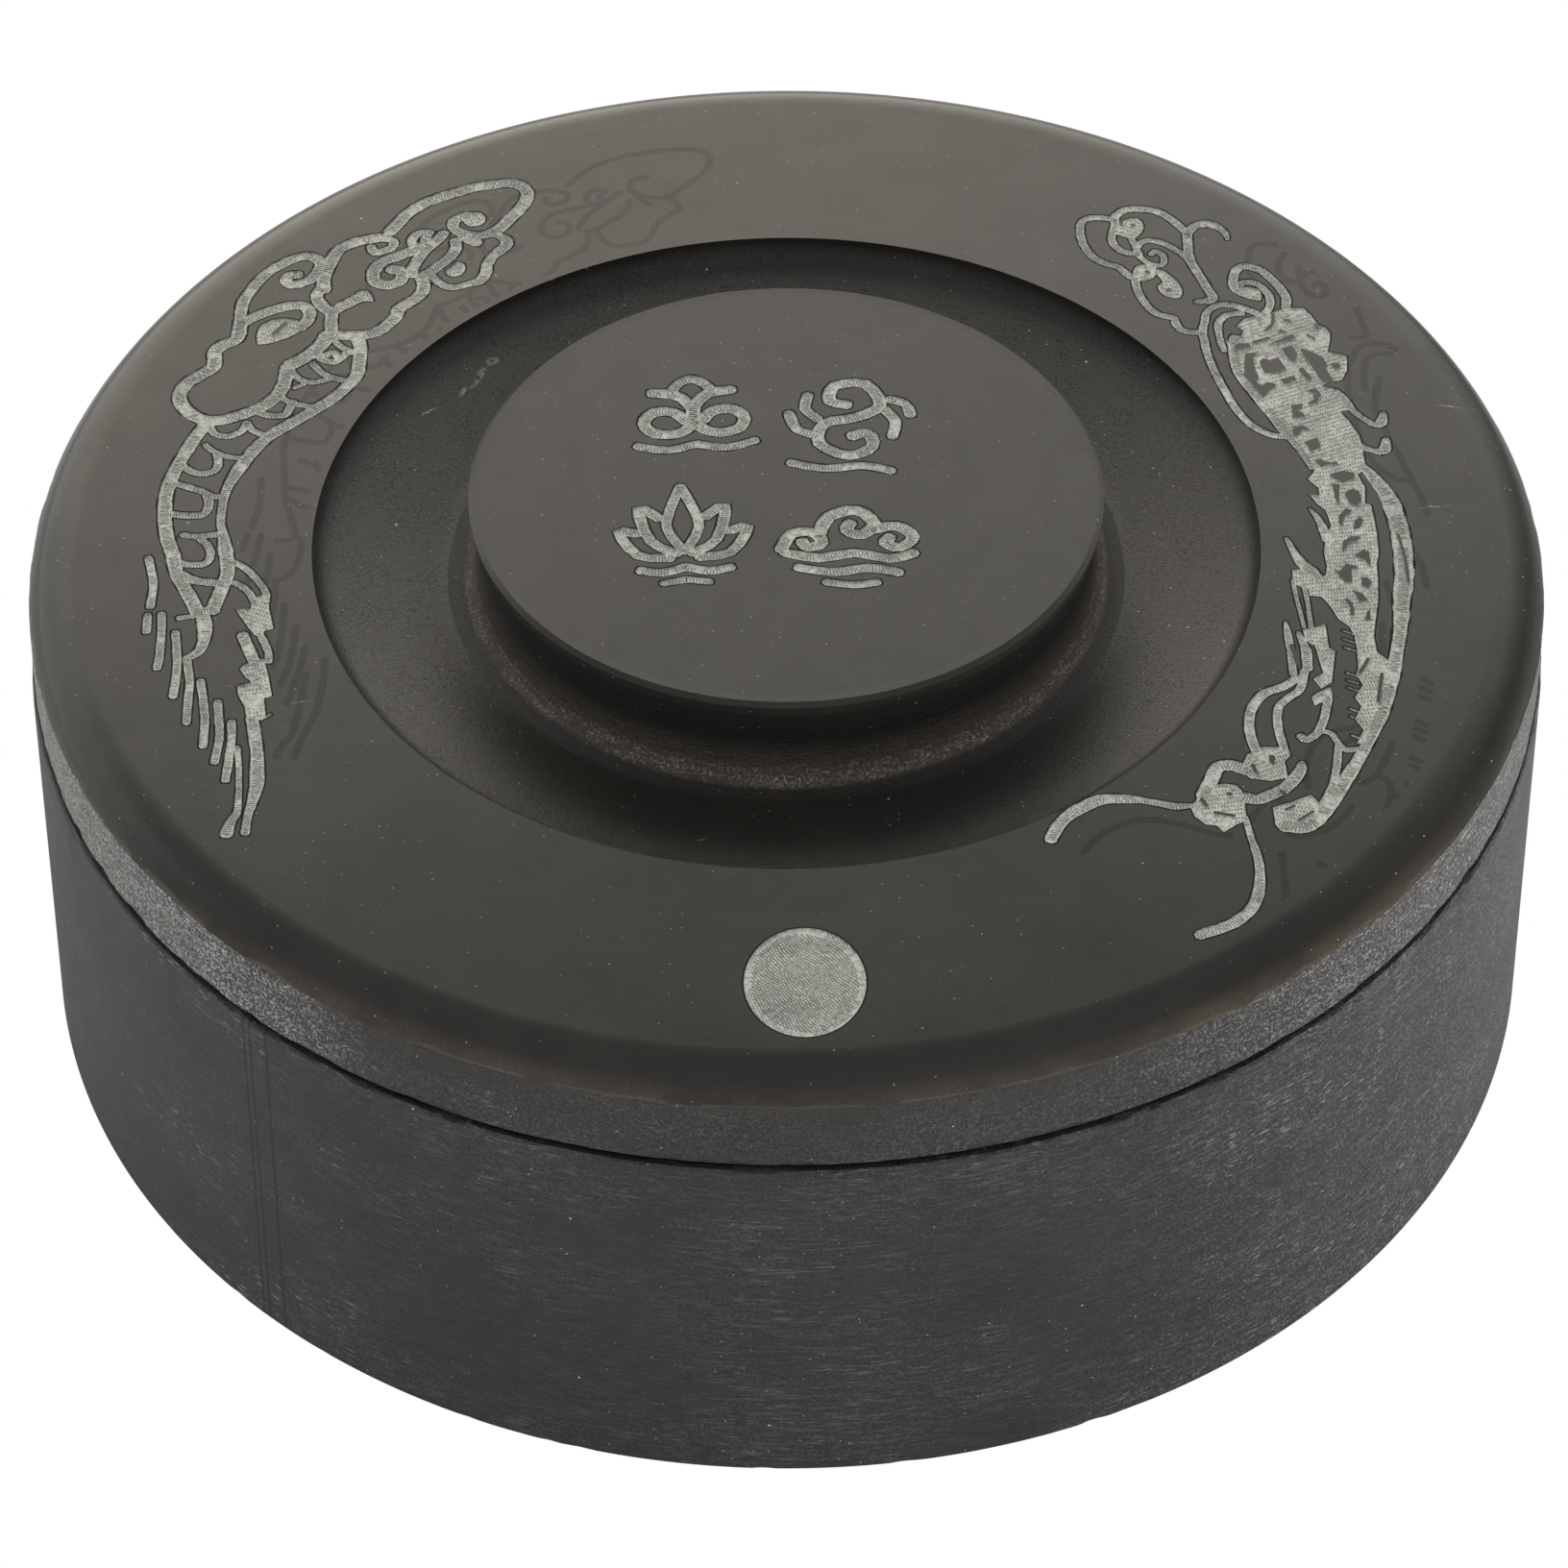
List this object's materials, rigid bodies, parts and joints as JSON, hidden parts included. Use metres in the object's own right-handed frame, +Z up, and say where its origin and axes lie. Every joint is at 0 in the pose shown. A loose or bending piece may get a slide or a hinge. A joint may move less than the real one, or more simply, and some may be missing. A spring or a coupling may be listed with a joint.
{
  "type": "covered round inkstone",
  "caption": "Round stone ink stone with a lift-off stone lid: dished trough and low knob on top, ink well with a crescent pool inside.",
  "frame": {"origin": "centre of the flat underside of the base, where the stone rests", "axes": "+Z up along the turning axis, -Y towards the front (the side with the round mark), +X to the right seen from the front"},
  "size_m": [0.1004, 0.1004, 0.0402],
  "materials": {
    "base_slate": "fine horizontal turning marks on the side, smooth ground well, satin",
    "lid_slate": "satin polished top with light grey engraved lines"
  },
  "bodies": {
    "base": {"base_stone": "base_slate"},
    "lid": {"lid_stone": "lid_slate"}
  },
  "joints": [
    {"name": "lid_lift", "type": "slide", "parent": "base", "child": "lid", "axis": [0, 0, 1], "range_m": [0, 0.05]}
  ]
}
